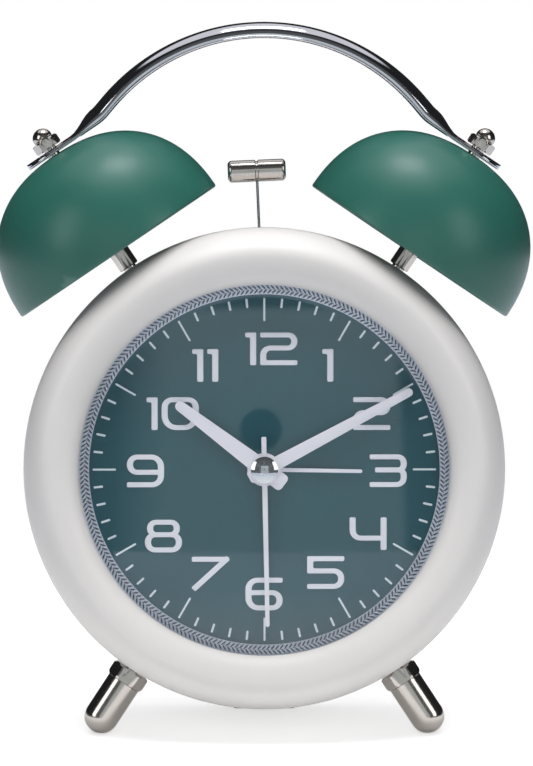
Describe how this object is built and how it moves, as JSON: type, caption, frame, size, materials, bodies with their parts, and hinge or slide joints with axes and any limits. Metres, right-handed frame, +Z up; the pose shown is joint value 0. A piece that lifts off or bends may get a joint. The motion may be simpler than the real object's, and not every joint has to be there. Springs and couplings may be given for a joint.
{
  "type": "alarm clock",
  "caption": "Round analogue alarm clock on feet, with twin bells under a carrying handle, a hammer between them, an analogue movement and rear controls.",
  "frame": {"origin": "on the ground, under the middle of the clock's bounding box", "axes": "+X to the right seen from the front, -Y to the front, +Z up; the case leans back by 8.5 degrees"},
  "size_m": [0.1202, 0.0664, 0.1572],
  "materials": {
    "case_paint": "pearl white satin paint",
    "bell_paint": "satin green paint",
    "clear_lens": "clear domed glass",
    "silver_ring": "silvered knurled ring",
    "dial_print": "teal printed dial",
    "hand_paint": "pale lavender grey paint",
    "chrome": "polished chrome",
    "nickel": "polished nickel",
    "steel": "plain steel",
    "brass": "turned brass",
    "cover_plastic": "off-white moulded plastic",
    "frame_plastic": "black moulded plastic",
    "gear_plastic": "natural acetal",
    "board": "green solder mask",
    "copper": "enamelled copper wire",
    "rubber": "black rubber",
    "battery_wrap": "plain printed wrap"
  },
  "bodies": {
    "root": {"acorn_nut_left": "chrome", "acorn_nut_right": "chrome", "battery_lower": "battery_wrap", "battery_spring_lower": "steel", "battery_spring_upper": "steel", "battery_upper": "battery_wrap", "bell_left": "bell_paint", "bell_post_left": "nickel", "bell_post_right": "nickel", "bell_right": "bell_paint", "bell_washer_left": "rubber", "bell_washer_right": "rubber", "case_shell": "case_paint", "circuit_board": "board", "coil": "copper", "cover_screw_1": "steel", "cover_screw_2": "steel", "cover_screw_3": "steel", "dial_plate": "dial_print", "dial_ring": "silver_ring", "dial_support": "frame_plastic", "foot_left": "nickel", "foot_nut_left": "brass", "foot_nut_right": "brass", "foot_right": "nickel", "handle": "chrome", "lens": "clear_lens", "movement_case": "frame_plastic", "movement_lid": "frame_plastic", "post_nut_left": "brass", "post_nut_right": "brass", "rear_cover": "cover_plastic", "rear_pad": "rubber", "stator": "steel", "striker_motor": "steel", "striker_plate": "steel", "train_bridge": "brass"},
    "hour_train": {"hour_hand": "hand_paint", "hour_wheel": "gear_plastic"},
    "minute_train": {"minute_hand": "hand_paint", "minute_wheel": "gear_plastic"},
    "second_train": {"second_hand": "hand_paint", "centre_cap": "chrome", "second_arbor": "gear_plastic"},
    "third_train": {"third_wheel": "gear_plastic"},
    "time_setting": {"motion_wheel": "gear_plastic", "time_set_knob": "cover_plastic"},
    "alarm_train": {"alarm_hand": "hand_paint", "alarm_wheel": "gear_plastic"},
    "alarm_setting": {"alarm_setting_arbor": "gear_plastic", "alarm_set_knob": "cover_plastic"},
    "hammer": {"hammer_lever": "steel", "hammer_wire": "steel", "hammer_head": "chrome"},
    "crank": {"crank_gear": "gear_plastic"},
    "motor_shaft": {"motor_pinion": "brass"},
    "door": {"battery_door": "cover_plastic"},
    "switch": {"alarm_switch": "frame_plastic"},
    "button": {"light_button": "frame_plastic"}
  },
  "joints": [
    {"name": "minute_hand_turn", "type": "hinge", "parent": "root", "child": "minute_train", "pos_m": [0, -0.00044, 0.05784], "axis": [0, 0.989, -0.1476], "continuous": true},
    {"name": "hour_hand_turn", "type": "hinge", "parent": "root", "child": "hour_train", "pos_m": [0, -0.00044, 0.05784], "axis": [0, 0.989, -0.1476], "continuous": true},
    {"name": "second_hand_turn", "type": "hinge", "parent": "root", "child": "second_train", "pos_m": [0, -0.00044, 0.05784], "axis": [0, 0.989, -0.1476], "continuous": true},
    {"name": "third_wheel_turn", "type": "hinge", "parent": "root", "child": "third_train", "pos_m": [0, 0.00081, 0.06625], "axis": [0, 0.989, -0.1476], "continuous": true},
    {"name": "time_knob_turn", "type": "hinge", "parent": "root", "child": "time_setting", "pos_m": [0.012, -0.00044, 0.05784], "axis": [0, 0.989, -0.1476], "continuous": true},
    {"name": "alarm_hand_turn", "type": "hinge", "parent": "root", "child": "alarm_train", "pos_m": [0, -0.00044, 0.05784], "axis": [0, 0.989, -0.1476], "continuous": true},
    {"name": "alarm_knob_turn", "type": "hinge", "parent": "root", "child": "alarm_setting", "pos_m": [-0.012, -0.00044, 0.05784], "axis": [0, 0.989, -0.1476], "continuous": true},
    {"name": "hammer_swing", "type": "hinge", "parent": "root", "child": "hammer", "pos_m": [0, 0.00369, 0.08553], "axis": [0, 0.989, -0.1476], "range_deg": [-4.3, 9.1]},
    {"name": "crank_turn", "type": "hinge", "parent": "root", "child": "crank", "pos_m": [0, 0.00133, 0.06971], "axis": [0, 0.989, -0.1476], "continuous": true},
    {"name": "motor_pinion_turn", "type": "hinge", "parent": "root", "child": "motor_shaft", "pos_m": [0.01, 0.00133, 0.06971], "axis": [0, 0.989, -0.1476], "continuous": true},
    {"name": "battery_door_hinge", "type": "hinge", "parent": "root", "child": "door", "pos_m": [0, 0.01316, 0.01688], "axis": [-1, 0, 0], "range_deg": [0, 100]},
    {"name": "alarm_switch_slide", "type": "slide", "parent": "root", "child": "switch", "axis": [1, 0, 0], "range_m": [0, 0.004]},
    {"name": "light_button_push", "type": "slide", "parent": "root", "child": "button", "axis": [0, -0.989, 0.1476], "range_m": [0, 0.0012], "stiffness_N_per_m": 800, "springref_m": -0.0005}
  ],
  "couplings": [
    {"joint": "hour_hand_turn", "follows": "minute_hand_turn", "ratio": 0.083333},
    {"joint": "second_hand_turn", "follows": "minute_hand_turn", "ratio": 60},
    {"joint": "third_wheel_turn", "follows": "minute_hand_turn", "ratio": -8},
    {"joint": "time_knob_turn", "follows": "minute_hand_turn", "ratio": -0.33333},
    {"joint": "alarm_knob_turn", "follows": "alarm_hand_turn", "ratio": -2},
    {"joint": "motor_pinion_turn", "follows": "crank_turn", "ratio": -3}
  ]
}
